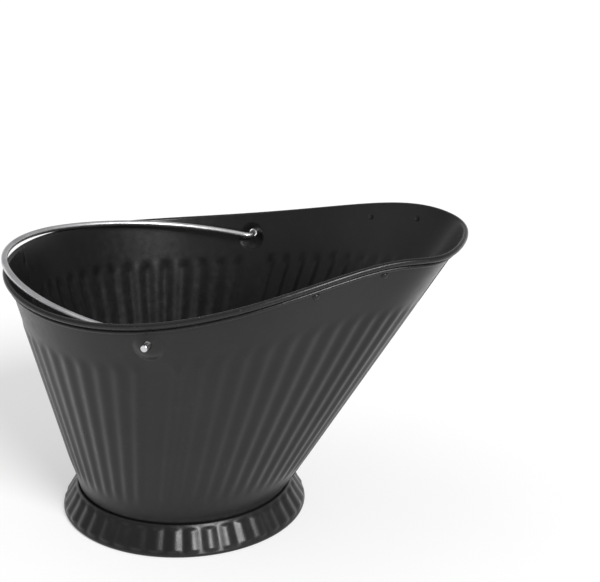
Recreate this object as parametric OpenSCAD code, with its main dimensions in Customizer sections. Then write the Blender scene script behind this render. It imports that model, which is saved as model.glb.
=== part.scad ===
/* [Mouth] */
// Foot centre to the rearmost point of the rim
rear_reach = 162; // [140:1:185]
// Foot centre to the tip of the spout
tip_reach = 270; // [240:1:300]
// Full width of the rim at its widest
rim_width = 342; // [300:1:380]
// Height of the rim at the spout tip
tip_height = 293.5; // [265:0.5:320]
// Height of the rim at the rear
rear_height = 252; // [230:0.5:275]
// How far the widest place moves towards the spout
belly = 55; // [40:1:65]
// How blunt the two ends of the mouth are in plan
bluntness = 10.5; // [4:0.5:16]
// How much the spout narrows, as a share of the width
spout_taper = 0.316; // [0.2:0.002:0.36]
// How far the rim stays high before it falls towards the ears
shoulder = 6.9; // [3:0.1:10]
// How much the middle of the rim lies above a straight line
crown = 5.3; // [0:0.1:9]
// How deep the S bend of the rim is
s_bend = 3.8; // [0:0.1:6]

/* [Body sheet] */
// Radius of the body where it leaves the foot, outside
neck_r = 103.2; // [90:0.2:115]
// Height at which the body starts to flare
neck_z = 26.5; // [20:0.5:35]
// Height of the lower edge of the body, inside the foot
skirt_z = 9; // [5:0.5:14]
// Thickness of the pressed sheet
sheet = 0.8; // [0.6:0.1:1.2]
// Number of rib places around the body: seams take two of them, ears two more
ribs = 60; // [48:4:72]
// Height of the pressed ribs, from valley to crest
rib_h = 1.5; // [0.8:0.1:2.4]
// How far the valleys lie inside the plain band under the rim
rib_in = 0.4; // [0:0.1:1.5]
// Width of the lap on each side of a seam line
lap_w = 4; // [2:0.5:6]

/* [Rolled rim] */
// Diameter of the wire in the rim
rim_wire_d = 3.2; // [2:0.2:5]
// Rim's height from the top of its bead to the edge of its hem
hem_depth = 7.8; // [7:0.2:12]

/* [Ears and bail] */
// Foot centre to the pivot line of the bail, towards the spout
ear_x = 27; // [0:1:50]
// Height of the pivot line
ear_z = 231; // [222:0.5:233]
// How far the middle of the ear dome lies below the pivot line
ear_drop = 3.5; // [0:0.5:4.5]
// Diameter of the pressed ear dome
ear_d = 27; // [22:0.5:30]
// Height of the ear dome over the wall
ear_h = 5; // [3:0.5:8]
// Diameter of the bail wire
bail_d = 6; // [4:0.2:6.6]
// Clearance of the bail wire in its ear hole, on the diameter
bail_play = 1.8; // [1:0.1:3]
// How far the bail reaches past the rear of the rim
bail_overhang = 6; // [3:0.5:15]
// Bend radius of the bail's round end
bail_end_r = 113; // [100:1:140]
// Distance from the ear wall to the arm of the bail inside it
bail_inset = 10; // [8:0.5:14]
// Bend radius where an arm turns out into its ear
bail_bend_r = 6; // [4:0.5:9]
// Length of wire outside the ear dome
bail_tail = 7.5; // [3:0.5:10]

/* [Spout rivets] */
// Places of the rivets along the mouth, in degrees from the spout tip
rivet_places = [68, 90.5];
// Distance of the rivets from the top of the bead
rivet_drop = 14.5; // [12:0.5:25]
// Diameter of the rivet heads
rivet_head_d = 6.4; // [5:0.2:9]
// Diameter of the rivet shanks
rivet_d = 3; // [2:0.2:4]

/* [Foot] */
// Diameter over the bead of the foot
foot_d = 240; // [225:1:255]
// Width of the rolled lip round the neck
lip_w = 3; // [2.6:0.1:4]
// Number of flutes around the foot
flutes = 42; // [30:2:54]
// Height of the flutes
flute_h = 1.6; // [0.6:0.1:2.5]
// Diameter of the wire in the foot bead
foot_wire_d = 3; // [2:0.2:4]
// Height of the pan's floor over the ground, upper side
floor_z = 21; // [16:0.5:24]
// Bend radius at the edge of the pan
pan_bend_r = 3; // [2:0.5:6]
// Height of the pan, from the edge of its flange to its floor
pan_h = 7; // [6.5:0.5:11]

/* [Hidden] */
$fn = 48;
// Clearance between pieces that lie on each other
fit = 0.15;
// Clearance round a wire inside its bead: half a facet deeper than the fit
wire_fit = 0.15;

// ---- mouth curve: t runs from 0 at the spout tip to 180 at the rear ----
function ease(t) = cos(t) - cos(3 * t);
function rim_x(t) = (tip_reach - rear_reach) / 2 + (tip_reach + rear_reach) / 2 * cos(t)
    + belly * (1 - cos(2 * t)) - bluntness * ease(t);
function side_shape(t) = sin(t) - spout_taper * sin(2 * t) + 0.129 * sin(3 * t) + 0.02 * sin(4 * t);
side_peak = max([for (t = [60 : 180]) side_shape(t)]);
function rim_y(t) = rim_width / 2 * side_shape(t) / side_peak;
function rim_z(t) = (tip_height + rear_height) / 2 + (tip_height - rear_height) / 2 * cos(t)
    + shoulder * ease(t) + crown * (1 - cos(2 * t)) - s_bend * (1 - cos(4 * t));
function rim(t) = [rim_x(t), rim_y(t), rim_z(t)];
// The ribs fan out towards the spout: foot angle a meets the mouth at this t
fan = [34.7, 8.6, 3.7];
function mouth_angle(a) = a + fan[0] * sin(a) + fan[1] * sin(2 * a) + fan[2] * sin(3 * a);

// ---- one station of the wall ----
function unit(v) = v / norm(v);
function round_z(a, r, z) = [r * cos(a), r * sin(a), z];
wire_gap = rim_wire_d / 2 + fit;
bead_r = wire_gap + sheet;
// Station: neck point, top of the wall's outer face, outward, up the wall, centre of the bead
function station_to(a, t) = let (
        low = round_z(a, neck_r, neck_z), top = rim(t),
        along = unit(rim(t + 0.5) - rim(t - 0.5)),
        out = unit(cross(along, top - low)),
        up = cross(out, along),
        centre = top - up * bead_r)
    [low, centre - out * wire_gap, out, up, centre];
function station(a) = station_to(a, mouth_angle(a));
// Point at a turn of the bead and a distance from its centre
function bead_point(s, turn, r) = s[4] + (s[2] * cos(turn) + s[3] * sin(turn)) * r;

// ---- section of the wall, as pairs of points on its inner and outer face ----
pitch = 120 / ribs;
half_n = 1.5 * ribs;
// Fine stations of one half: every third is a crest, save the one under the ear
fine_k = [for (k = [2 : half_n - 2]) k];
function ear_rib() = 3 * round(ear_a / pitch / 3);
function swell(k) = k % 3 == 0 && k != ear_rib() ? 1 : 0;
// Ribbed rows: share of the height, share of the pressing
wall_rows = [[0, 0], [0.06, 0], [0.11, 0.6], [0.17, 1], [0.73, 1], [0.79, 0.6], [0.84, 0]];
fine_rows = len(wall_rows) + 1;
curl = [180, 135, 90, 45, 0, -50];
function skirt_point(s, off) = let (out = unit([s[0][0], s[0][1], 0]))
    [s[0][0], s[0][1], skirt_z] + out * off;
function wall_point(s, share, off) = s[0] + (s[1] - s[0]) * share + s[2] * off;
function fine_point(s, row, press, off) = row == 0 ? skirt_point(s, off)
    : wall_point(s, wall_rows[row - 1][0], wall_rows[row - 1][1] * press + off);
// Plain rows over the ribs: below the hem, round the wire, down the hem
hem_end = hem_depth - bead_r;
hem_below = 2;
function hem_rows(s) = let (below = s[1] - s[3] * (hem_end + hem_below), lie = s[1] + s[2] * fit) concat(
    [[below - s[2] * sheet, below]],
    [for (turn = curl) [bead_point(s, turn, bead_r), bead_point(s, turn, wire_gap)]],
    [for (u = [1.4 * bead_r, hem_end]) [lie + s[2] * sheet, lie] - [s[3], s[3]] * u]);

// ---- lap seams: at both ends the right half covers an edge of the left half ----
lap_lift = sheet + fit;
lap_step = 1;
lap_first = 3;
lap_last = fine_rows - 2;
// Edge points of a seam: place along the lap, place where the lap is cut back, lift
lap_end = [lap_w + lap_step, lap_w + lap_step, 0];
over_edges = [[-lap_w, fit, lap_lift], [lap_w, 3 * fit, lap_lift], lap_end];
under_edges = [[lap_step / 2 - lap_w, fit, 0], lap_end];
function edges(over) = over ? over_edges : under_edges;
function cut_back(row, over) = let (inset = over ? 0 : 1)
    row < lap_first + inset || row > lap_last - inset;
function edge_point(s, row, over, edge, off) = let (y = cut_back(row, over) ? edge[1] : edge[0])
    fine_point(s, row, 0, off + (row > 1 ? edge[2] : 0) - y * y / (2 * neck_r)) + [0, y, 0];
function edge_points(a, row, over, off) = let (s = station(a))
    [for (edge = edges(over)) edge_point(s, row, over, edge, off)];
function backwards(list) = [for (i = [len(list) - 1 : -1 : 0]) list[i]];
function fine_row(row, over, off) = concat(
    edge_points(0, row, over, off),
    [for (k = fine_k) fine_point(station(k * pitch), row, rib_h * swell(k) - rib_in, off)],
    backwards(edge_points(180, row, over, off)));
hem_angles = concat([0], [for (k = fine_k) if (k % 2 == 0) k * pitch], [180]);
function half_rows(over) = let (
        hem = [for (a = hem_angles) let (shift = [0, a % 180 == 0 ? fit : 0, 0])
            [for (p = hem_rows(station(a))) [p[0] + shift, p[1] + shift]]])
    concat(
        [for (row = [0 : fine_rows - 1]) [fine_row(row, over, -sheet), fine_row(row, over, 0)]],
        [for (row = [0 : len(hem[0]) - 1]) [[for (h = hem) h[row][0]], [for (h = hem) h[row][1]]]]);

// ---- a sheet from rows of paired points ----
function running(list, i = 0, sum = 0) = i == len(list) ? [sum]
    : concat([sum], running(list, i + 1, sum + list[i]));
function last(list) = list[len(list) - 1];
function flip(faces) = [for (f = faces) backwards(f)];
// Triangles between two rows with as many points, and between a fine and a coarse row
function lace(lo, hi) = [for (i = [0 : len(lo) - 2])
    each [[lo[i], hi[i], hi[i + 1]], [lo[i], hi[i + 1], lo[i + 1]]]];
function lace_down(fine, coarse, first) = let (
        at = concat([0], [for (j = [0 : len(coarse) - 3]) first + 2 * j], [len(fine) - 1]))
    [for (j = [0 : len(coarse) - 2]) let (mid = floor((at[j] + at[j + 1] + 1) / 2)) each concat(
        [for (i = [at[j] : 1 : mid - 1]) [fine[i], coarse[j], fine[i + 1]]],
        [[fine[mid], coarse[j], coarse[j + 1]]],
        [for (i = [mid : 1 : at[j + 1] - 1]) [fine[i], coarse[j + 1], fine[i + 1]]])];
function join_rows(lo, hi, first) = len(lo) == len(hi) ? lace(lo, hi)
    : len(lo) > len(hi) ? lace_down(lo, hi, first) : flip(lace_down(hi, lo, first));
// first: how many points of a fine row lie before its second coarse one, where rows differ
module sheet_of(rows, closed, first = 0) {
    size = [for (r = rows) len(r[0])];
    start = running(size);
    all = last(start);
    top = len(rows) - 1;
    function row(j, from) = concat([for (i = [0 : size[j] - 1]) from + start[j] + i],
        closed ? [from + start[j]] : []);
    near = [for (j = [0 : top]) row(j, 0)];
    far = [for (j = [0 : top]) row(j, all)];
    skin = [for (j = [0 : top - 1]) each concat(
        join_rows(far[j], far[j + 1], first), flip(join_rows(near[j], near[j + 1], first)))];
    ends = closed ? [] : [for (j = [0 : top - 1]) each concat(
        flip(lace([far[j][0], far[j + 1][0]], [near[j][0], near[j + 1][0]])),
        lace([last(far[j]), last(far[j + 1])], [last(near[j]), last(near[j + 1])]))];
    edges = concat(flip(lace(far[0], near[0])), lace(far[top], near[top]));
    polyhedron(concat([for (r = rows) each r[0]], [for (r = rows) each r[1]]),
        concat(skin, ends, edges), 4);
}

// ---- ears: the pivot line meets the wall here ----
function wall_at(a, z) = let (s = station(a))
    s[0] + (s[1] - s[0]) * (z - s[0][2]) / (s[1][2] - s[0][2]);
function ear_angle(lo = 60, hi = 120, n = 30) = let (mid = (lo + hi) / 2) n == 0 ? mid
    : wall_at(mid, ear_z)[0] > ear_x ? ear_angle(mid, hi, n - 1) : ear_angle(lo, mid, n - 1);
ear_a = ear_angle();
ear = wall_at(ear_a, ear_z);
ear_dome = wall_at(ear_a, ear_z - ear_drop);
ear_ball = (ear_d * ear_d / 4 + ear_h * ear_h) / (2 * ear_h);
module facing(point, out) translate(point)
    rotate([0, acos(out[2]), atan2(out[1], out[0])]) children();
module at_ear() facing(ear_dome, station(ear_a)[2]) children();
module ear_cap(ball) translate([0, 0, ear_h - ear_ball]) rotate_extrude() intersection() {
    circle(ball);
    translate([0, ear_ball - ear_h - 2 * sheet]) square(ear_d);
}

// ---- spout rivets ----
function mouth_to_foot(t, lo = 0, hi = 180, n = 40) = let (mid = (lo + hi) / 2) n == 0 ? mid
    : mouth_angle(mid) < t ? mouth_to_foot(t, mid, hi, n - 1) : mouth_to_foot(t, lo, mid, n - 1);
rivet_stations = [for (t = rivet_places) station_to(mouth_to_foot(t), t)];
module at_rivets() for (s = rivet_stations)
    facing(s[1] - s[3] * (rivet_drop - bead_r), s[2]) children();
rivet_head_h = 0.27 * rivet_head_d;
rivet_ball = (rivet_head_d * rivet_head_d / 4 + rivet_head_h * rivet_head_h) / (2 * rivet_head_h);
module rivet() {
    translate([0, 0, fit]) difference() {
        translate([0, 0, rivet_head_h - rivet_ball]) sphere(rivet_ball);
        translate([0, 0, -rivet_head_d * 2]) cylinder(h = rivet_head_d * 2, d = rivet_head_d * 4);
    }
    translate([0, 0, -sheet - 2 * fit]) cylinder(h = sheet + 4 * fit, d = rivet_d);
    translate([0, 0, -sheet - fit - rivet_d / 3]) cylinder(h = rivet_d / 3, d = 1.6 * rivet_d);
}

// ---- bail: drawn flat, its loop towards the rear, and laid on the rim ----
bail_reach = ear_x + rear_reach + bail_overhang;
// To the thousandth, so that bends which meet share the same end face
function even(v) = round(1000 * v) / 1000;
bail_half = even(ear[1] - bail_inset);
bail_rest = atan((rear_height + bail_d / 2 + 2 * fit - ear_z) / (ear_x + rear_reach));
bail_run = bail_reach - bail_end_r - bail_bend_r;
bail_side_r = even((bail_run * bail_run + bail_half * bail_half - bail_end_r * bail_end_r)
    / (2 * (bail_half - bail_end_r)));
bail_turn = atan2(bail_run, bail_side_r - bail_half);
// Length of a pin from the bend in its arm to its end outside the ear
bail_pin = bail_inset - bail_bend_r + ear_h + bail_tail;
module wire_bend(r, from, turn) rotate(from) rotate_extrude(angle = turn, $fn = 96)
    translate([r, 0]) circle(d = bail_d, $fn = 32);
// The mark that the bender leaves where the round end meets a side
bend_mark = 0.02;
module wire_mark(r, at) rotate(at) translate([r, 0]) rotate([90, 0, 0])
    cylinder(h = bail_d / 5, d = bail_d + bend_mark, center = true);
module bail_arm() {
    translate([-bail_bend_r, bail_half - bail_side_r]) wire_bend(bail_side_r, 90, bail_turn);
    translate([-bail_bend_r, bail_half + bail_bend_r]) wire_bend(bail_bend_r, -90, 90);
    translate([0, bail_half + bail_bend_r]) rotate([-90, 0, 0])
        cylinder(h = bail_pin, d = bail_d, $fn = 32);
}

// ---- foot ring: up round the neck, over a lip, down the fluted flare, round its wire ----
foot_gap = foot_wire_d / 2 + fit + wire_fit;
foot_bead_r = foot_gap + sheet;
// The bead stands on a flat this many degrees wide on either side of its lowest line
flat_turn = 22.5;
foot_z = foot_bead_r * cos(flat_turn);
foot_c = foot_d / 2 - foot_bead_r;
collar_r = neck_r + fit;
lip_r = lip_w / 2;
lip_z = neck_z - fit - lip_r / 2;
foot_n = 2 * flutes;
// Lip: turns round its centre; the sheet's two faces lie at both radii
function lip_point(turn, r) = [collar_r + lip_r + r * cos(turn), lip_z + r * sin(turn)];
function foot_bead(turn, r) = [foot_c + r * cos(turn), foot_z + r * sin(turn)];
// The flare runs straight from the lip onto the bead, which it touches at this turn
flare_top = lip_point(0, lip_r);
flare_turn = let (d = foot_bead(0, 0) - flare_top)
    90 + atan2(d[1], d[0]) + asin(foot_bead_r / norm(d));
flare_end = foot_bead(flare_turn, foot_bead_r);
function flare_point(share, off) = flare_top + (flare_end - flare_top) * share
    + [cos(flare_turn), sin(flare_turn)] * off;
// From the flare over the outside to the flat, then behind the wire and up
flat_start = flat_turn - 90;
foot_turns = concat([for (i = [0 : 2]) flare_turn + (flat_start - flare_turn) * i / 3],
    [for (i = [0, 2, 4, 6, 7.5]) flat_start - i * flat_turn]);
// Section rows: outer face, inner face, height of the flutes
foot_section = concat(
    [[[collar_r, skirt_z], [collar_r + sheet, skirt_z], 0]],
    [for (turn = [180, 90, 20]) [lip_point(turn, lip_r), lip_point(turn, lip_r - sheet), 0]],
    [for (share = [0.16, 0.84]) [flare_point(share, 0), flare_point(share, -sheet), flute_h]],
    [for (turn = foot_turns) [foot_bead(turn, foot_bead_r), foot_bead(turn, foot_gap), 0]]);
function foot_ring_row(f, face) = [for (k = [0 : foot_n - 1])
    round_z(k * 360 / foot_n, f[face][0] + f[2] * (k % 2), f[face][1])];

// ---- everything is set so that its box is centred over the origin ----
front_x = max([for (turn = curl) bead_point(station(0), turn, bead_r)[0]]);
back_x = ear_x - bail_reach * cos(bail_rest) - bail_d / 2;
module placed() translate([-(front_x + back_x) / 2, 0, 0]) children();

module half_body(over) difference() {
    union() {
        difference() {
            sheet_of(half_rows(over), false, len(edges(over)));
            at_ear() cylinder(h = 4 * ear_h, d = ear_d - 2 * sheet, center = true);
        }
        at_ear() difference() {
            ear_cap(ear_ball);
            ear_cap(ear_ball - sheet);
        }
    }
    translate(ear) rotate([90, 0, 0]) cylinder(h = 6 * ear_h, d = bail_d + bail_play, center = true);
    at_rivets() cylinder(h = 6 * sheet, d = rivet_d + 2 * fit, center = true);
}
module left_wall() placed() color("dimgray") half_body(false);
module right_wall() placed() color("dimgray") mirror([0, 1, 0]) half_body(true);

module rim_wire() placed() color("gray") {
    sides = 6;
    half = [for (a = hem_angles) let (s = station(a))
        [for (j = [0 : sides - 1]) bead_point(s, 360 / sides * j, rim_wire_d / 2)]];
    n = len(half) - 1;
    loop = concat(half, [for (i = [n - 1 : -1 : 1]) [for (p = half[i]) [p[0], -p[1], p[2]]]]);
    count = len(loop);
    faces = [for (i = [0 : count - 1]) for (j = [0 : sides - 1]) let (
            i2 = (i + 1) % count * sides, j2 = (j + 1) % sides)
        each [[i * sides + j, i * sides + j2, i2 + j2], [i * sides + j, i2 + j2, i2 + j]]];
    polyhedron([for (ring = loop) each ring], faces, 4);
}

// Half section of a pan turned upside down, from its open edge up to its floor
module pan_section(r, bend_r, top, low) {
    translate([0, low]) square([r, top - bend_r - low]);
    translate([0, top - bend_r]) square([r - bend_r, bend_r]);
    translate([r - bend_r, top - bend_r]) intersection() {
        circle(bend_r, $fn = 48);
        square(bend_r);
    }
}
module bottom_pan() placed() color("dimgray") rotate_extrude($fn = 96) difference() {
    r = neck_r - sheet - fit;
    edge_z = floor_z - pan_h;
    pan_section(r, pan_bend_r, floor_z, edge_z);
    pan_section(r - sheet, pan_bend_r - sheet, floor_z - sheet, edge_z - 1);
}

module foot_ring() placed() color("dimgray")
    sheet_of([for (f = foot_section) [foot_ring_row(f, 0), foot_ring_row(f, 1)]], true);

module foot_wire() placed() color("gray")
    translate([0, 0, foot_z]) rotate_extrude($fn = 96) translate([foot_c, 0])
        circle(d = foot_wire_d, $fn = 24);

module spout_rivets() placed() color("silver") for (side = [0, 1])
    mirror([0, side, 0]) at_rivets() rivet();

module bail() placed() color("lightgray") translate([ear_x, 0, ear_z]) rotate([0, bail_rest, 0]) {
    translate([bail_end_r - bail_reach, 0]) {
        wire_bend(bail_end_r, 90 + bail_turn, 180 - 2 * bail_turn);
        for (side = [-1, 1]) wire_mark(bail_end_r, side * (90 + bail_turn));
    }
    for (side = [0, 1]) mirror([0, side, 0]) bail_arm();
}

left_wall();
right_wall();
rim_wire();
bottom_pan();
foot_ring();
foot_wire();
spout_rivets();
bail();
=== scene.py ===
# %% [markdown]
# # A coal scuttle
#
# A coal scuttle, or hod, is a sheet-steel bucket with one side drawn out into a pouring
# spout. This lesson dresses a finished engineering model of one. The model gives the real
# sizes. The cells below rebuild its sheet pieces with soft, pressed curves, paint them in
# stove black, and set up the camera and the light.

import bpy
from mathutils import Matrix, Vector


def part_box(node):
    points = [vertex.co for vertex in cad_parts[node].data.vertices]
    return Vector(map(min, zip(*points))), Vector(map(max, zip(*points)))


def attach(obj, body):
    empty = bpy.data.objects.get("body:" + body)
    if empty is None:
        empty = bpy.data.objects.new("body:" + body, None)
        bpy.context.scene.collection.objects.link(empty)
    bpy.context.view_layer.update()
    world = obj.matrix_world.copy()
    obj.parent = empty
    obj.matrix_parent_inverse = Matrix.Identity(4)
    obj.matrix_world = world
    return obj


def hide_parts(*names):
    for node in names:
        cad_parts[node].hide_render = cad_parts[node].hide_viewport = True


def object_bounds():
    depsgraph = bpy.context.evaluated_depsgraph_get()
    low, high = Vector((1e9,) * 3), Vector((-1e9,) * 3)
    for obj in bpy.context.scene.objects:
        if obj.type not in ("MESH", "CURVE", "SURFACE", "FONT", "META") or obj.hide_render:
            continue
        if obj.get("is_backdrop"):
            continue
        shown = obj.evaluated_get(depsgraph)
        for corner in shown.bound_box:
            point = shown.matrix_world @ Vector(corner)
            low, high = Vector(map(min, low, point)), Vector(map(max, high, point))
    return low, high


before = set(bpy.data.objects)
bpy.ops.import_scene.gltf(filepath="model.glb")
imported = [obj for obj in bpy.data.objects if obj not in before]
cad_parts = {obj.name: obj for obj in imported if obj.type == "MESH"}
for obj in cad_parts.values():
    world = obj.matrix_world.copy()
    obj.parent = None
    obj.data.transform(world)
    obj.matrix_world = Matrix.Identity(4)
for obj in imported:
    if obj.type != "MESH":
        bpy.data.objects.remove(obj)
cad_low, cad_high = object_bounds()
print("nodes:", ", ".join(sorted(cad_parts)))
print("size in metres:", [round(c, 4) for c in cad_high - cad_low])

# %% Modules and units that every cell uses
from math import asin, atan, atan2, cos, degrees, pi, radians, sin, sqrt

import bmesh
import bpy
from mathutils import Matrix, Vector

MM = 0.001
foot_low, foot_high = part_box("foot_ring")
foot_x = (foot_low.x + foot_high.x) / 2
print("the foot's axis stands at x =", round(foot_x, 5))

# %% [markdown]
# ## The camera
#
# The picture was taken from the left of the hod, a little towards the spout, and from well
# above the rim, so that the inside of the far wall shows. The camera is a long lens, about
# 85 mm on a 36 mm sensor, so the two ends of the mouth are drawn at nearly the same scale.

# %% Camera
image_width_px, focal_px = 600, 1411.1
camera_place = Vector((foot_x + 0.4101, -1.2050, 0.6665))
look_down, look_left, camera_roll = radians(19.39), radians(13.62), radians(0.14)

camera_data = bpy.data.cameras.new("picture_camera")
camera_data.sensor_width = 36
camera_data.lens = camera_data.sensor_width * focal_px / image_width_px
camera = bpy.data.objects.new("picture_camera", camera_data)
camera.matrix_world = (Matrix.Translation(camera_place) @ Matrix.Rotation(look_left, 4, "Z")
                       @ Matrix.Rotation(pi / 2 - look_down, 4, "X")
                       @ Matrix.Rotation(camera_roll, 4, "Z"))
bpy.context.scene.collection.objects.link(camera)
bpy.context.scene.camera = camera
print("lens:", round(camera_data.lens, 1), "mm")

# %% [markdown]
# ## The line of the mouth
#
# Seen from above, the mouth is an egg whose pointed end is the spout. Seen from the side
# it is a lazy S: high at the spout, lowest in front of the ears and a little higher again
# at the rear. Both follow one angle t, from 0 at the spout's tip to 180 at the rear, so the
# line is a short formula. A traced curve would be harder to change and never quite smooth.

# %% Mouth
tip_reach, rear_reach, rim_width = 270 * MM, 162 * MM, 342 * MM
tip_height, rear_height = 293.5 * MM, 252 * MM
belly, bluntness = 55 * MM, 10.5 * MM
spout_taper, fullness, squareness = 0.316, 0.129, 0.02
shoulder, crown, s_bend = 6.9 * MM, 5.3 * MM, 3.8 * MM


def cosd(a):
    return cos(radians(a))


def sind(a):
    return sin(radians(a))


def side_shape(t):
    """Half the mouth's width at the angle t, before it is scaled to the rim's width."""
    return sind(t) - spout_taper * sind(2 * t) + fullness * sind(3 * t) + squareness * sind(4 * t)


side_peak = max(side_shape(t) for t in range(60, 181))


def mouth(t):
    """Top of the rim's bead at the angle t."""
    ease = cosd(t) - cosd(3 * t)
    x = ((tip_reach - rear_reach) / 2 + (tip_reach + rear_reach) / 2 * cosd(t)
         + belly * (1 - cosd(2 * t)) - bluntness * ease)
    z = ((tip_height + rear_height) / 2 + (tip_height - rear_height) / 2 * cosd(t)
         + shoulder * ease + crown * (1 - cosd(2 * t)) - s_bend * (1 - cosd(4 * t)))
    return Vector((foot_x + x, rim_width / 2 * side_shape(t) / side_peak, z))


print("mouth length:", round((mouth(0) - mouth(180)).x, 4))

# %% [markdown]
# ## A station of the wall
#
# The wall is one flat blank bent round, so it is straight from the neck to the rim. Each
# rib starts at an even step round the neck, at the foot angle a, and ends at an uneven
# step along the mouth, because the blank fans out towards the spout. A station holds what
# the section needs there: the neck point, the top of the outer face, the directions out of
# the wall and up it, and the centre of the rim's bead.

# %% Wall stations
neck_r, neck_z, skirt_z, sheet = 103.2 * MM, 26.5 * MM, 9 * MM, 0.8 * MM
rim_wire_r, fit = 1.6 * MM, 0.15 * MM
wire_gap = rim_wire_r + fit
bead_r = wire_gap + sheet
fan, fan_ends, fan_sides = 34.7, 8.6, 3.7
station_cache = {}


def mouth_angle(a):
    """The ribs fan out: the place along the mouth of the rib at foot angle a."""
    return a + fan * sind(a) + fan_ends * sind(2 * a) + fan_sides * sind(3 * a)


def station_to(a, t):
    """The straight line up the wall from the neck at foot angle a to the mouth at the angle t."""
    low = Vector((foot_x + neck_r * cosd(a), neck_r * sind(a), neck_z))
    top = mouth(t)
    out = (mouth(t + 0.5) - mouth(t - 0.5)).cross(top - low).normalized()
    up = out.cross((mouth(t + 0.5) - mouth(t - 0.5)).normalized())
    centre = top - up * bead_r
    return {"low": low, "top": centre - out * wire_gap, "out": out, "up": up, "bead": centre}


def station(a):
    if a not in station_cache:
        station_cache[a] = station_to(a, mouth_angle(a))
    return station_cache[a]


print("wall slope at the ears:", round(degrees(asin(-station(90)["out"].z)), 1), "degrees")

# %% [markdown]
# ## The section, from the skirt to the hem
#
# The sheet starts inside the foot, runs straight up to the rim, rolls outward round a wire
# and lies back along the wall as a hem. The rows below walk along that section on one face
# of the sheet. The ribs are pressed only between two shares of the height and fade out at
# both ends, so the top of the wall stays a plain band. The hem is drawn in tight under the
# wire and swells once more before its cut edge. The roll and the swelling catch the lamp
# as two fine lines that run side by side along the mouth.

# %% Section rows
rib_count, rib_height, rib_inset = 60, 1.5 * MM, 0.4 * MM
rib_start, rib_full, rib_fade, rib_end = 0.06, 0.16, 0.78, 0.84
wall_part = 0.985
hem_start, hem_reach = 2.2 * MM, 7.6 * MM
hem_gap, hem_tuck, hem_swell = 0.1 * MM, 2.1 * MM, 1.65 * MM


def ramp(x, start, end):
    """0 up to start, 1 from end, smooth between them; start may be the larger one."""
    u = min(max((x - start) / (end - start), 0), 1)
    return u * u * (3 - 2 * u)


def steps(start, end, count):
    """Even steps from start, without the end itself."""
    return [start + (end - start) * i / count for i in range(count)]


def hem_out(down):
    """How far the hem stands off the wall, at a distance down from the rim wire's middle."""
    return (fit + hem_gap + hem_tuck * ramp(down, 3.6 * MM, 1.4 * MM)
            + hem_swell * ramp(down, 4.7 * MM, 6.1 * MM) * ramp(down, 8.4 * MM, 6.5 * MM))


wall_shares = (steps(0, rib_start, 2) + steps(rib_start, rib_full, 8)
               + steps(rib_full, rib_fade, 22) + steps(rib_fade, rib_end, 10)
               + steps(rib_end, 0.97, 11))
section = ([("skirt", skirt_z), ("skirt", neck_z - 4 * MM)] + [("wall", u) for u in wall_shares]
           + [("top", u * MM) for u in (6, 3, 1)]
           + [("bead", turn) for turn in range(180, -71, -10)]
           + [("hem", down) for down in steps(hem_start, hem_reach, 18)] + [("hem", hem_reach)])
print("rows in the section:", len(section))

# %% [markdown]
# ## Where the ribs and the seams are
#
# There are 60 places round the body, and 56 of them hold a rib. Two, at the tip of the
# spout and at the rear, are flat and hold the seams where the two halves of the body lap.
# The right half lies outside, lifted by one thickness of sheet over the left half's edge.
# The other two lie under the ears, where the press leaves the sheet flat.

# %% Ribs and laps
rib_pitch = 360 / rib_count
bare_place = 90
lap_w = 4 * MM
lap_lift = sheet + fit
seam_end, butt_gap = lap_w + 1 * MM, 0.02 * MM
under_edge = 0.5 * MM - lap_w
columns_per_rib = 10


def rib_press(a):
    """How far the sheet is pressed out at foot angle a, where the ribs are at full height."""
    from_seam = min(a, 180 - a) / rib_pitch
    if from_seam < 0.5:
        return -rib_inset * ramp(from_seam, 0.4, 0.5)
    if abs(a - bare_place) < rib_pitch / 2:
        return -rib_inset
    return rib_height * (0.5 + 0.5 * cosd(360 * a / rib_pitch)) - rib_inset


def half_columns(over):
    """Columns of one half, each (foot angle, distance across the seam or None, lift)."""
    edge = [-lap_w, 0, lap_w, seam_end] if over else [under_edge, 0, seam_end]
    seam = [(y, lap_lift if over and y <= lap_w else 0) for y in edge]
    count = rib_count // 2 * columns_per_rib
    first = columns_per_rib // 2
    fine = [(180 * k / count, None, 0) for k in range(first, count - first + 1)]
    front, rear = ([(a, y, lift) for y, lift in seam] for a in (0, 180))
    return front + fine + rear[::-1]


print("columns of one half:", len(half_columns(True)))

# %% [markdown]
# The next function gives a point of the sheet from a column and a row. The lap is cut back
# to a butt joint near the foot and under the rim, where three thicknesses would not roll.

# %% A point of the sheet
def across_seam(y, share):
    """Distance across the seam, drawn back to the seam line where the lap is cut away."""
    lap = ramp(share, 0.02, 0.06) * ramp(share, 0.965, 0.93)
    butt = butt_gap + max(y - under_edge, 0) / (seam_end - under_edge) * (seam_end - butt_gap)
    return butt + (y - butt) * lap


def sheet_point(column, row):
    """Where a column of the blank crosses a row, on the face that is outside on the wall."""
    a, y, lift = column
    kind, value = row
    s = station(a)
    share = {"skirt": 0, "wall": value}.get(kind, 1)
    side = Vector((0, across_seam(y, share) if y is not None else 0, 0))
    back = s["out"] * (lift * ramp(share, 0.01, 0.045) * ramp(share, 0.975, 0.945))
    if y is not None and kind in ("skirt", "wall", "top"):
        back -= s["out"] * (side.y * side.y / (2 * neck_r))
    if kind == "skirt":
        return Vector((s["low"].x, s["low"].y, value)) + side + back
    if kind == "wall":
        strength = ramp(share, rib_start, rib_full) * ramp(share, rib_end, rib_fade)
        press = (rib_press(a) if y is None else 0) * strength
        return s["low"].lerp(s["top"], share * wall_part) + s["out"] * press + side + back
    if kind == "top":
        return s["top"] - s["up"] * value + side + back
    if kind == "bead":
        around = s["out"] * cosd(value) + s["up"] * sind(value)
        return s["bead"] + around * wire_gap + side
    return s["top"] + s["out"] * hem_out(value) - s["up"] * value + side


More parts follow.
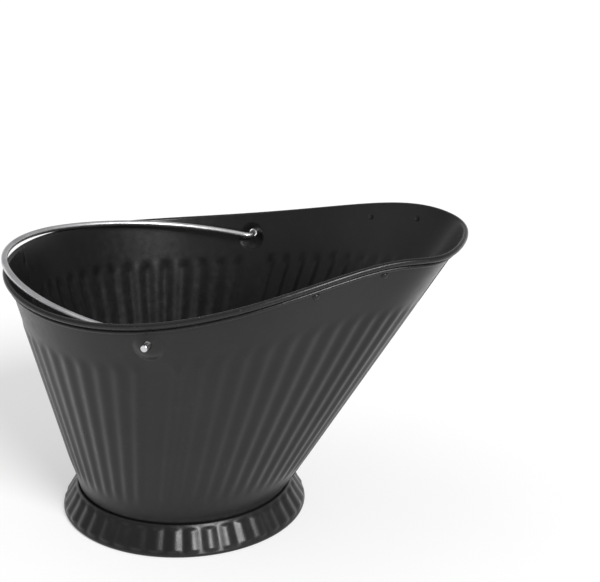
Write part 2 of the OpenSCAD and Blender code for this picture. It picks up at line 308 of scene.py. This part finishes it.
print("spout tip:", [round(c, 4) for c in sheet_point((0, 0, 0), ("bead", 90))])

# %% [markdown]
# ## From a spun vertex to a pressed wall
#
# On the real hod a press stamps the ribs into a flat blank, which is then bent round. Here
# one vertex is spun into a line, the line is extruded once for every row of the section,
# and each new vertex is set in its place by the formula above. Two marks ride along on the
# vertices: the column, which tells each vertex where it belongs, and how far it stands
# out as an edge, which the paint uses later.

# %% Helpers for open sheets
def spun_line(bm, count, closed=False):
    """A line of vertices made by spinning one, which the first row then sets in place."""
    first = bm.verts.new((1, 0, 0))
    bmesh.ops.spin(bm, geom=[first], cent=(0, 0, 0), axis=(0, 0, 1), angle=2 * pi if closed else pi,
                   steps=count if closed else count - 1, use_merge=closed)
    bm.verts.ensure_lookup_table()
    return bm.edges[:]


def raise_rows(bm, count, rows, place, edge_mark, closed=False):
    """Extrudes a spun line through the rows. place and edge_mark take (column, row)."""
    column = bm.verts.layers.int.new("column")
    edge = bm.verts.layers.float.new("edge")
    line = spun_line(bm, count, closed)
    for i, v in enumerate(bm.verts):
        v[column] = i
    for number, row in enumerate(rows):
        if number:
            made = bmesh.ops.extrude_edge_only(bm, edges=line)["geom"]
            line = [g for g in made if isinstance(g, bmesh.types.BMEdge)
                    and not any(v in old for v in g.verts)]
        front = {v for e in line for v in e.verts}
        old = front
        for v in front:
            v.co = place(v[column], row)
            v[edge] = edge_mark(v[column], row)
    return bm


print("helpers for sheets are ready")

# %% [markdown]
# ## The pressed ears
#
# The bail does not turn in the flat wall. Each side has a shallow dome pressed out of the
# same sheet, with a hole a little above its middle. The mesh is made finer there with
# subdivide_edges and then moved outward by the height of a ball's cap. A soft maximum of
# the cap and of nothing gives the dome the small round foot that a press leaves.

# %% Ears
ear_forward, ear_z, ear_r, ear_h, ear_drop = 27 * MM, 231 * MM, 13.5 * MM, 5 * MM, 3.5 * MM
ear_x = foot_x + ear_forward
ear_ball = (ear_r ** 2 + ear_h ** 2) / (2 * ear_h)
ear_foot = 0.8 * MM


def wall_at(a, z):
    """The wall's point at foot angle a and the height z."""
    s = station(a)
    return s["low"].lerp(s["top"], (z - s["low"].z) / (s["top"].z - s["low"].z))


def ear_angle():
    """The foot angle whose line up the wall passes through the ear, found by halving."""
    low, high = 60.0, 120.0
    for _ in range(30):
        middle = (low + high) / 2
        low, high = (middle, high) if wall_at(middle, ear_z).x > ear_x else (low, middle)
    return low


ear = wall_at(ear_angle(), ear_z)
ear_dome = wall_at(ear_angle(), ear_z - ear_drop)
ear_out = station(ear_angle())["out"]


def ear_height(distance):
    """Height of the pressed dome at a distance from its middle."""
    cap = sqrt(max(ear_ball ** 2 - distance ** 2, 0)) - ear_ball + ear_h
    return (cap + sqrt(cap ** 2 + ear_foot ** 2)) / 2


def press_ear(bm):
    near = [f for f in bm.faces if (f.calc_center_median() - ear_dome).length < 1.5 * ear_r]
    rim = list({e for f in near for e in f.edges})
    bmesh.ops.subdivide_edges(bm, edges=rim, cuts=2, use_grid_fill=True)
    for v in bm.verts:
        off = (v.co - ear_dome).dot(ear_out)
        distance = (v.co - ear_dome - ear_out * off).length
        if distance < ear_ball and abs(off) < ear_h:
            v.co += ear_out * ear_height(distance)


print("ear stands at", [round(c, 4) for c in ear])

# %% [markdown]
# ## Giving a sheet its thickness
#
# Solidify turns an open sheet into a closed wall, Bevel breaks the sharp cut edges of the
# steel so that they catch the light, and Boolean drills what has to be a clean round hole.
# The result is written back into the mesh, so a piece ends as plain geometry in place.

# %% Helpers that finish a piece
def make_object(name, bm):
    mesh = bpy.data.meshes.new(name)
    bm.to_mesh(mesh)
    bm.free()
    obj = bpy.data.objects.new(name, mesh)
    bpy.context.scene.collection.objects.link(obj)
    return obj


def face_away(bm, middle):
    """Turns an open sheet's faces so that most of them look away from the middle."""
    bmesh.ops.recalc_face_normals(bm, faces=bm.faces)
    if sum(f.calc_area() * f.normal.dot(f.calc_center_median() - middle) for f in bm.faces) < 0:
        bmesh.ops.reverse_faces(bm, faces=bm.faces)


def apply_modifiers(obj, smooth_angle=35):
    """Writes the modifiers into the mesh and keeps only sharp corners sharp."""
    depsgraph = bpy.context.evaluated_depsgraph_get()
    mesh = bpy.data.meshes.new_from_object(obj.evaluated_get(depsgraph))
    obj.modifiers.clear()
    obj.data = mesh
    mesh.shade_smooth()
    mesh.set_sharp_from_angle(angle=radians(smooth_angle))


def thicken(obj, thickness, cutters=(), edge_break=0.2 * MM):
    """Makes an open sheet solid inwards, breaks its edges and drills it."""
    solid = obj.modifiers.new("thickness", "SOLIDIFY")
    solid.thickness, solid.offset, solid.use_even_offset = thickness, -1, True
    bevel = obj.modifiers.new("broken_edges", "BEVEL")
    bevel.width, bevel.segments = edge_break, 2
    bevel.limit_method, bevel.angle_limit = "ANGLE", radians(50)
    for cutter in cutters:
        drill = obj.modifiers.new("hole", "BOOLEAN")
        drill.object, drill.operation, drill.solver = cutter, "DIFFERENCE", "EXACT"
    apply_modifiers(obj)
    for cutter in cutters:
        bpy.data.objects.remove(cutter)


def belongs(obj, body, node):
    """Hangs a piece on the empty of the body it rides on and hides the node it stands for."""
    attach(obj, body)
    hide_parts(node)
    obj.data.calc_loop_triangles()
    print(obj.name, "stands for", node, "with", len(obj.data.loop_triangles), "triangles")


print("helpers for pieces are ready")

# %% [markdown]
# ## The two halves of the body
#
# Both halves come from one function. The right one is made on the left side too, with its
# lapping columns, and then mirrored, which turns its faces round, so its normals are
# recalculated before it gets its thickness.

# %% Body halves
bail_wire_r, bail_play = 3 * MM, 0.9 * MM


def edge_mark(column, row):
    """1 on the rim's bead and hem, less on the crests of the ribs, 0 on the plain sheet."""
    # Where the mark is set the paint turns a little lighter: partly wear, partly a painted
    # highlight on the bead, hem and rib crests.
    kind, value = row
    if kind in ("bead", "hem"):
        return 1.0
    if kind == "wall" and column[1] is None:
        strength = ramp(value, rib_start, rib_full) * ramp(value, rib_end, rib_fade)
        return 0.5 * strength * max(0, rib_press(column[0]) + rib_inset) / rib_height
    return 0.0


def ear_drill(side):
    bm = bmesh.new()
    bmesh.ops.create_cone(bm, cap_ends=True, segments=48, radius1=bail_wire_r + bail_play,
                          radius2=bail_wire_r + bail_play, depth=8 * ear_h)
    bmesh.ops.rotate(bm, verts=bm.verts, matrix=Matrix.Rotation(pi / 2, 3, "X"))
    bmesh.ops.translate(bm, verts=bm.verts, vec=(ear.x, side * ear.y, ear.z))
    return make_object("ear_drill", bm)


def body_half(name, node, over):
    columns = half_columns(over)
    bm = raise_rows(bmesh.new(), len(columns), section, lambda c, row: sheet_point(columns[c], row),
                    lambda c, row: edge_mark(columns[c], row))
    press_ear(bm)
    if over:
        bmesh.ops.scale(bm, verts=bm.verts, vec=(1, -1, 1))
    face_away(bm, Vector((foot_x, 0, ear_z)))
    half = make_object(name, bm)
    thicken(half, sheet, [ear_drill(-1 if over else 1)])
    belongs(half, "hod", node)
    return half


left_half = body_half("body_left_half", "left_wall", False)
right_half = body_half("body_right_half", "right_wall", True)

# %% [markdown]
# ## The foot ring
#
# The foot is a fluted band. Its upper edge is rolled into a soft lip round the neck, and
# its lower edge is rolled in round a wire, which makes the bead that the hod stands on. A
# closed line is spun and extruded down this section, and the flutes swell only between the
# lip and the bead.

# %% Foot ring
foot_d, lip_r, foot_wire_r = 240 * MM, 1.5 * MM, 1.5 * MM
flutes, flute_h, flute_power = 42, 1.6 * MM, 0.8
foot_bead_r = foot_wire_r + 2 * fit + sheet
foot_bead_c = foot_d / 2 - foot_bead_r
collar_r = neck_r + fit
lip_z = neck_z - fit - lip_r / 2
columns_per_flute = 12


def lip_at(turn):
    return (collar_r + lip_r + lip_r * cosd(turn), lip_z + lip_r * sind(turn), 0)


def foot_bead_at(turn):
    return (foot_bead_c + foot_bead_r * cosd(turn), foot_bead_r * (1 + sind(turn)), 0)


flare_top = lip_at(0)
to_bead = (foot_bead_c - flare_top[0], foot_bead_r - flare_top[1])
bead_distance = sqrt(to_bead[0] ** 2 + to_bead[1] ** 2)
flare_turn = 90 + degrees(atan2(to_bead[1], to_bead[0]) + asin(foot_bead_r / bead_distance))


def flare_at(share):
    """A place on the flare, from the lip to the bead, and how strong the flutes are there."""
    r, z = (a + (b - a) * share for a, b in zip(flare_top[:2], foot_bead_at(flare_turn)[:2]))
    return (r, z, ramp(share, 0.0, 0.16) * ramp(share, 1, 0.84))


foot_rows = ([(collar_r, z * MM, 0) for z in (9, 15, 21)]
             + [lip_at(turn) for turn in range(180, 0, -20)]
             + [flare_at(share) for share in steps(0.03, 1, 20)]
             + [foot_bead_at(turn) for turn in steps(flare_turn, -236, 24)])


def foot_point(column, row):
    a = 360 * column / (flutes * columns_per_flute)
    r = row[0] + row[2] * flute_h * (0.5 + 0.5 * cosd(flutes * a)) ** flute_power
    return Vector((foot_x + r * cosd(a), r * sind(a), row[1]))


def foot_edge(column, row):
    # The bead and the flute crests are marked, so the paint is a little lighter there: partly wear,
    # partly a painted highlight.
    on_bead = row[1] < foot_bead_r
    return 1.0 if on_bead else 0.45 * row[2] * (0.5 + 0.5 * cosd(360 * column / columns_per_flute))


foot_bm = raise_rows(bmesh.new(), flutes * columns_per_flute, foot_rows, foot_point, foot_edge,
                     closed=True)
face_away(foot_bm, Vector((foot_x, 0, -0.2)))
foot_ring = make_object("foot_ring_fluted", foot_bm)
thicken(foot_ring, sheet)
belongs(foot_ring, "hod", "foot_ring")

# %% [markdown]
# ## The bottom
#
# The bottom is a shallow pan, turned upside down and pressed into the neck, so the coal
# lies a little above the floor. It is a turned part: its half section is drawn as a line
# and then spun. The picture does not show the bottom, so it is a guess, and so are the two
# low rings pressed into it to keep it from drumming.

# %% Bottom pan
pan_r, floor_z, pan_h, pan_bend_r = neck_r - sheet - fit, 21 * MM, 7 * MM, 3 * MM


def spun_section(points, centre, turns=96):
    """A surface of revolution about a vertical axis, from (radius, height) points."""
    bm = bmesh.new()
    chain = [bm.verts.new((centre.x + r, centre.y, z)) for r, z in points]
    edges = [bm.edges.new(pair) for pair in zip(chain, chain[1:])]
    bmesh.ops.spin(bm, geom=chain + edges, cent=centre, axis=(0, 0, 1), angle=2 * pi,
                   steps=turns, use_merge=True)
    bmesh.ops.remove_doubles(bm, verts=bm.verts, dist=1e-6)
    return bm


def arc(centre_r, centre_z, radius, start, end, count):
    """Points of an arc in a section, from one turn to another, in degrees."""
    turns = [start + (end - start) * i / count for i in range(count + 1)]
    return [(centre_r + radius * cosd(t), centre_z + radius * sind(t)) for t in turns]


ring_step, ring_depth = 1.5 * MM, 0.5 * MM
pan_section = [(0, floor_z)]
for ring_r in (38 * MM, 76 * MM):
    pan_section += [(ring_r + ring_step * i, floor_z - ring_depth * (0.5 + 0.5 * cosd(45 * i)))
                    for i in range(-4, 5)]
pan_section += arc(pan_r - pan_bend_r, floor_z - pan_bend_r, pan_bend_r, 90, 0, 8)
pan_section += [(pan_r, floor_z - pan_h)]

pan_bm = spun_section(pan_section, Vector((foot_x, 0, 0)))
face_away(pan_bm, Vector((foot_x, 0, -0.2)))
bottom_pan = make_object("bottom_pan_pressed", pan_bm)
thicken(bottom_pan, sheet)
belongs(bottom_pan, "hod", "bottom_pan")

# %% [markdown]
# ## The rivets under the rim
#
# Two rivets a side show beside the spout. They were set before the hod was painted, so
# their heads are as black as the wall. They show by their shine and by a lighter grey on the
# crowns, which is partly wear and partly a painted highlight. Each is a turned part
# with a low round head outside and a flattened end inside, set square to the wall.

# %% Spout rivets
rivet_places, rivet_drop, rivet_r = (68, 90.5), 14.5 * MM, 1.5 * MM
rivet_head_r, rivet_tail_r = 3.2 * MM, 1.6 * rivet_r
rivet_head_h = 0.72 * rivet_head_r


def mouth_to_foot(t):
    """The foot angle that belongs to the angle t along the mouth, found by halving."""
    low, high = 0.0, 180.0
    for _ in range(40):
        middle = (low + high) / 2
        low, high = (middle, high) if mouth_angle(middle) < t else (low, middle)
    return low


def rivet(bm, place, out):
    """Adds one rivet, with its axis along out."""
    ball = (rivet_head_r ** 2 + rivet_head_h ** 2) / (2 * rivet_head_h)
    crown = [(ball * sind(a), rivet_head_h - ball + ball * cosd(a) + fit)
             for a in steps(0, degrees(asin(rivet_head_r / ball)), 8)]
    brim = [(rivet_head_r, fit + 0.15 * MM), (rivet_head_r - 0.15 * MM, fit), (rivet_r, fit)]
    inside = -sheet - fit
    tail = [(rivet_r, inside), (rivet_tail_r, inside), (rivet_tail_r, inside - 0.7 * MM),
            (1.2 * rivet_r, inside - rivet_r * 0.6), (0, inside - rivet_r * 0.66)]
    one = spun_section(crown + brim + tail, Vector((0, 0, 0)), 32)
    bmesh.ops.recalc_face_normals(one, faces=one.faces)
    # The crown is marked, so the paint there is polished and a little lighter: partly wear, partly
    # a painted highlight.
    worn_and_sheen = one.verts.layers.float.new("edge")
    for v in one.verts:
        v[worn_and_sheen] = ramp(v.co.z, 0.3 * rivet_head_h, rivet_head_h)
    turn = Vector((0, 0, 1)).rotation_difference(out).to_matrix().to_4x4()
    bmesh.ops.transform(one, verts=one.verts, matrix=Matrix.Translation(place) @ turn)
    mesh = bpy.data.meshes.new("one_rivet")
    one.to_mesh(mesh)
    one.free()
    bm.from_mesh(mesh)
    bpy.data.meshes.remove(mesh)


rivet_bm = bmesh.new()
rivet_bm.verts.layers.float.new("edge")
for t in rivet_places:
    s = station_to(mouth_to_foot(t), t)
    place, out = s["top"] - s["up"] * (rivet_drop - bead_r), s["out"]
    for side in (1, -1):
        mirrored = Vector((1, side, 1))
        rivet(rivet_bm, place * mirrored, out * mirrored)
rivets = make_object("spout_rivet_heads", rivet_bm)
apply_modifiers(rivets, 40)
belongs(rivets, "hod", "spout_rivets")

# %% [markdown]
# ## The bail
#
# The bail is one round wire bent on a bender: a straight pin, a tight bend, a long easy
# bend, the round end, and the same back again. The mesh is made the same way. A ring of
# vertices is extruded along the pin and then spun about the centre of each bend in turn.
# The flat wire is tilted at the end until its loop lies on the rear of the rim.

# %% Bail
bail_low, bail_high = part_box("bail")
bail_overhang, bail_inset = 6 * MM, 10 * MM
bail_reach = ear_forward + rear_reach + bail_overhang
bail_half, bail_end_r, bail_bend_r = ear.y - bail_inset, 113 * MM, 6 * MM
bail_chamfer = 0.35 * MM
bail_rest = atan((rear_height + bail_wire_r + 2 * fit - ear_z) / (ear_forward + rear_reach))
bail_run = bail_reach - bail_end_r - bail_bend_r
bail_side_r = (bail_run ** 2 + bail_half ** 2 - bail_end_r ** 2) / (2 * (bail_half - bail_end_r))
bail_turn = atan2(bail_run, bail_side_r - bail_half)
pin_end, pin_start = bail_high.y, bail_half + bail_bend_r


def bend(bm, ring, centre, angle, count):
    """Spins the open end of the wire about the centre of a bend and returns the new end."""
    made = bmesh.ops.spin(bm, geom=ring, cent=centre, axis=(0, 0, 1), angle=angle, steps=count,
                          use_duplicate=False)
    return made["geom_last"]


bail_bm = bmesh.new()
start = bmesh.ops.create_circle(bail_bm, cap_ends=True, segments=28,
                                radius=bail_wire_r - bail_chamfer)["verts"]
bmesh.ops.rotate(bail_bm, verts=start, matrix=Matrix.Rotation(pi / 2, 3, "X"))
bmesh.ops.translate(bail_bm, verts=start, vec=(0, pin_end, 0))
ring = list({e for v in start for e in v.link_edges})
for along in (bail_chamfer, pin_end - pin_start):
    made = bmesh.ops.extrude_edge_only(bail_bm, edges=ring)["geom"]
    verts = [g for g in made if isinstance(g, bmesh.types.BMVert)]
    for v in verts:
        v.co = Vector((v.co.x, 0, v.co.z)).normalized() * bail_wire_r
        v.co.y = pin_end - along
    ring = [g for g in made
            if isinstance(g, bmesh.types.BMEdge) and all(v in verts for v in g.verts)]
ring = verts + ring
for centre, angle, count in (((-bail_bend_r, pin_start, 0), -pi / 2, 14),
                             ((-bail_bend_r, bail_half - bail_side_r, 0), bail_turn, 48),
                             ((bail_end_r - bail_reach, 0, 0), pi / 2 - bail_turn, 24)):
    ring = bend(bail_bm, ring, centre, angle, count)
one_side = bail_bm.verts[:] + bail_bm.edges[:] + bail_bm.faces[:]
bmesh.ops.mirror(bail_bm, geom=one_side, axis="Y", merge_dist=1e-5)
bmesh.ops.recalc_face_normals(bail_bm, faces=bail_bm.faces)
tilt = Matrix.Translation((ear_x, 0, ear_z)) @ Matrix.Rotation(bail_rest, 4, "Y")
bmesh.ops.transform(bail_bm, verts=bail_bm.verts, matrix=tilt)
bail = make_object("bail_bent_wire", bail_bm)
apply_modifiers(bail, 30)
belongs(bail, "bail", "bail")
print("bail tilt:", round(degrees(bail_rest), 2), "degrees, low and high corners",
      [round(c, 4) for c in bail_low], [round(c, 4) for c in bail_high])

# %% [markdown]
# ## Stove-black paint
#
# The body is sprayed with a black stove paint. It dries to a low gloss with a fine orange
# peel, so the ribs show as soft grey streaks and not as mirror lines. The colour wanders a
# little between warm and cold black, and a thin dust dulls it in patches. Where the sheet
# is rolled over its wire the paint is thinner and polished by hands, which the edge mark
# on the vertices tells the material. The same mark also makes the colour a little lighter
# on the rim, on the crests of the ribs and flutes and on the rivet crowns. That lighter grey
# is partly wear and partly a painted highlight.

# %% Helpers for materials
def nodes_of(name):
    """A new material with its node tree and its shader."""
    material = bpy.data.materials.new(name)
    material.use_nodes = True
    tree = material.node_tree
    shader = next(n for n in tree.nodes if n.type == "BSDF_PRINCIPLED")
    return material, tree, shader


def add(tree, kind, inputs=(), **settings):
    """A node with its settings, its fixed inputs and its links."""
    node = tree.nodes.new(kind)
    for key, value in settings.items():
        setattr(node, key, value)
    for key, value in dict(inputs).items():
        if isinstance(value, bpy.types.NodeSocket):
            tree.links.new(value, node.inputs[key])
        else:
            node.inputs[key].default_value = value
    return node


def noise(tree, place, scale, detail=3.0, roughness=0.5):
    return add(tree, "ShaderNodeTexNoise", {"Vector": place, "Scale": scale, "Detail": detail,
                                            "Roughness": roughness}).outputs["Fac"]


def remap(tree, value, low, high, to_low=0.0, to_high=1.0):
    """The value stretched from low and high to the two new ends, and held between them."""
    return add(tree, "ShaderNodeMapRange", {"Value": value, "From Min": low, "From Max": high,
                                            "To Min": to_low, "To Max": to_high}).outputs["Result"]


def combine(tree, a, b, operation="MULTIPLY"):
    """Two values multiplied, or added where the operation is ADD."""
    return add(tree, "ShaderNodeMath", {0: a, 1: b}, operation=operation).outputs[0]


def blend_colour(tree, factor, first, second):
    node = add(tree, "ShaderNodeMix", data_type="RGBA")
    sockets = (node.inputs["Factor"], node.inputs[6], node.inputs[7])
    for socket, value in zip(sockets, (factor, first, second)):
        if isinstance(value, bpy.types.NodeSocket):
            tree.links.new(value, socket)
        else:
            socket.default_value = value
    return node.outputs[2]


def bump(tree, height, strength, distance, normal=None):
    inputs = {"Height": height, "Strength": strength, "Distance": distance}
    if normal is not None:
        inputs["Normal"] = normal
    return add(tree, "ShaderNodeBump", inputs).outputs["Normal"]


def place_on(tree):
    """The place on the piece in metres, which the patterns follow."""
    return add(tree, "ShaderNodeTexCoord").outputs["Object"]


print("helpers for materials are ready")

# %% Black paint
def stove_black():
    material, tree, shader = nodes_of("stove_black_paint")
    place = place_on(tree)
    edge = add(tree, "ShaderNodeAttribute", attribute_name="edge").outputs["Fac"]
    clouds = noise(tree, place, 9.0, 4.0)
    fine = noise(tree, place, 140.0, 4.0, 0.6)
    cold_black, warm_black = (0.0055, 0.0057, 0.0062, 1), (0.0088, 0.0086, 0.0084, 1)
    # The lighter grey below is partly wear on the edges and partly a painted highlight.
    dust_grey, worn_and_sheen_grey = (0.06, 0.058, 0.056, 1), (0.12, 0.12, 0.122, 1)
    paint = blend_colour(tree, remap(tree, clouds, 0.35, 0.65), cold_black, warm_black)
    dust = combine(tree, remap(tree, fine, 0.5, 0.8), remap(tree, clouds, 0.4, 0.7, 0.03, 0.12))
    dusty = blend_colour(tree, dust, paint, dust_grey)
    # Marked edges turn lighter in flecks: partly thin, rubbed paint and partly a painted highlight
    # on the rim, the rib and flute crests and the rivet crowns.
    thin_paint_and_sheen = combine(tree, edge, remap(tree, noise(tree, place, 320.0, 3.0, 0.7), 0.6, 0.72))
    worn_and_sheen = blend_colour(tree, combine(tree, thin_paint_and_sheen, 0.25), dusty, worn_and_sheen_grey)
    tree.links.new(worn_and_sheen, shader.inputs["Base Color"])
    dullness = remap(tree, fine, 0.3, 0.7, 0.28, 0.37)
    polish = remap(tree, edge, 0.0, 1.0, 1.0, 0.9)
    tree.links.new(combine(tree, dullness, polish), shader.inputs["Roughness"])
    peel = bump(tree, noise(tree, place, 620.0, 2.0), 0.35, 0.00012)
    waves = bump(tree, noise(tree, place, 26.0, 2.0, 0.4), 0.5, 0.0012, peel)
    tree.links.new(waves, shader.inputs["Normal"])
    shader.inputs["IOR"].default_value = 1.42
    return material


black_paint = stove_black()
for piece in (left_half, right_half, foot_ring, bottom_pan, rivets):
    piece.data.materials.clear()
    piece.data.materials.append(black_paint)
print("painted:", black_paint.name, "with", len(black_paint.node_tree.nodes), "nodes")

# %% [markdown]
# ## Zinc-plated and plain wire
#
# The bail is bright zinc-plated wire. Plating is bare metal to the light, so it is fully
# metallic, with a soft frost and a few duller stains. The wires inside the two rolled
# beads are plain drawn steel, darker and rougher, and hardly show.

# %% Metals
def bare_metal(name, colour, dull, low, high, frost_scale):
    """A metal between two tints, with a roughness between low and high."""
    material, tree, shader = nodes_of(name)
    place = place_on(tree)
    frost = noise(tree, place, frost_scale, 4.0, 0.6)
    stains = noise(tree, place, 30.0, 3.0)
    tint = blend_colour(tree, remap(tree, stains, 0.42, 0.7), colour, dull)
    tree.links.new(tint, shader.inputs["Base Color"])
    tree.links.new(remap(tree, frost, 0.3, 0.7, low, high), shader.inputs["Roughness"])
    tree.links.new(bump(tree, frost, 0.25, 0.0001), shader.inputs["Normal"])
    shader.inputs["Metallic"].default_value = 1.0
    return material


zinc = bare_metal("zinc_plated_wire", (0.72, 0.72, 0.73, 1), (0.52, 0.52, 0.54, 1),
                  0.3, 0.46, 420.0)
steel = bare_metal("plain_steel_wire", (0.46, 0.46, 0.47, 1), (0.32, 0.31, 0.3, 1),
                   0.35, 0.55, 500.0)
rim_wire, foot_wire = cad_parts["rim_wire"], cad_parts["foot_wire"]
for piece, metal in ((bail, zinc), (rim_wire, steel), (foot_wire, steel)):
    piece.data.materials.clear()
    piece.data.materials.append(metal)
    print(piece.name, "is", metal.name)

# %% [markdown]
# ## The floor and the light
#
# The hod stands on a plain white floor that runs on past the picture's edge. World and
# lamps together light a level white surface just up to white, so colours render about as
# they are written. The floor itself is a light grey that glows a little for the camera and
# for reflections alone. It looks white there, keeps the hod's soft shadow, and adds no
# light to the hod. The world does the same near the horizon, so a low view has a pale
# background too. The key lamp stands to the right and a little above the camera, where it
# draws the bright lines on the rim and on the flutes of the foot. A second, weaker lamp
# stands high on the left.

# %% Floor
def shown_rays(tree):
    """1 for rays that show the background or its reflection, 0 for rays that light the hod."""
    rays = add(tree, "ShaderNodeLightPath").outputs
    mirrored = combine(tree, rays["Is Glossy Ray"], rays["Is Transmission Ray"], "ADD")
    return combine(tree, rays["Is Camera Ray"], mirrored, "ADD")


floor_glow = 0.44
floor_bm = bmesh.new()
bmesh.ops.create_grid(floor_bm, x_segments=1, y_segments=1, size=9)
floor = make_object("studio_floor", floor_bm)
floor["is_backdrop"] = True
floor_white, floor_tree, floor_shader = nodes_of("studio_white")
floor_grain = noise(floor_tree, place_on(floor_tree), 3.0, 2.0)
floor_grey = blend_colour(floor_tree, floor_grain, (0.59, 0.59, 0.59, 1), (0.61, 0.61, 0.61, 1))
floor_tree.links.new(floor_grey, floor_shader.inputs["Base Color"])
floor_shader.inputs["Roughness"].default_value = 0.9
floor_shader.inputs["Specular IOR Level"].default_value = 0.2
floor_shader.inputs["Emission Color"].default_value = (1, 1, 1, 1)
glow = combine(floor_tree, shown_rays(floor_tree), floor_glow)
floor_tree.links.new(glow, floor_shader.inputs["Emission Strength"])
floor.data.materials.append(floor_white)
print("floor is", round(floor.dimensions.x, 1), "m wide")

# %% World and lamps
world_level = 0.4
haze_low, haze_high = 2, 12
world = bpy.data.worlds.new("pale_studio")
bpy.context.scene.world = world
world.use_nodes = True
sky = world.node_tree
background = sky.nodes["Background"]
background.inputs["Color"].default_value = (1, 1, 1, 1)
height = add(sky, "ShaderNodeSeparateXYZ", {"Vector": place_on(sky)}).outputs["Z"]
pale = remap(sky, height, sind(haze_low), sind(haze_high), 1 - world_level, 0)
haze = combine(sky, shown_rays(sky), pale)
sky.links.new(combine(sky, haze, world_level, "ADD"), background.inputs["Strength"])


def lamp(name, azimuth, elevation, width, level):
    """A far, soft lamp. Azimuth 0 is on the camera's side and grows to the right. Width is the
    angle it fills, seen from the hod. Level is how far it alone lights a white floor, of 1."""
    a, e = radians(azimuth), radians(elevation)
    towards = Vector((cos(e) * sin(a), -cos(e) * cos(a), sin(e)))
    data = bpy.data.lights.new(name, "SUN")
    data.angle, data.energy = radians(width), level * pi / sin(e)
    obj = bpy.data.objects.new(name, data)
    aim = towards.to_track_quat("Z", "Y").to_matrix().to_4x4()
    obj.matrix_world = Matrix.Translation(towards * 2) @ aim
    bpy.context.scene.collection.objects.link(obj)
    return level


levels = [world_level, lamp("key_lamp", 45, 36, 24, 0.53), lamp("top_lamp", -60, 68, 45, 0.07)]
print("light on the floor:", round(sum(levels), 2), "of white")

# %% Picture settings
bpy.context.scene.view_settings.view_transform = "Standard"

# %% [markdown]
# ## Last look at the sizes
#
# The dressed hod has to fill the same box as the engineering model. The two boxes are
# compared before the frame is closed, and the largest difference is printed.

# %% Compare and finish
low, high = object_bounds()
off = max(abs(a - b) for a, b in zip((*low, *high), (*cad_low, *cad_high)))
print("box differs by at most", round(off / MM, 2), "mm")
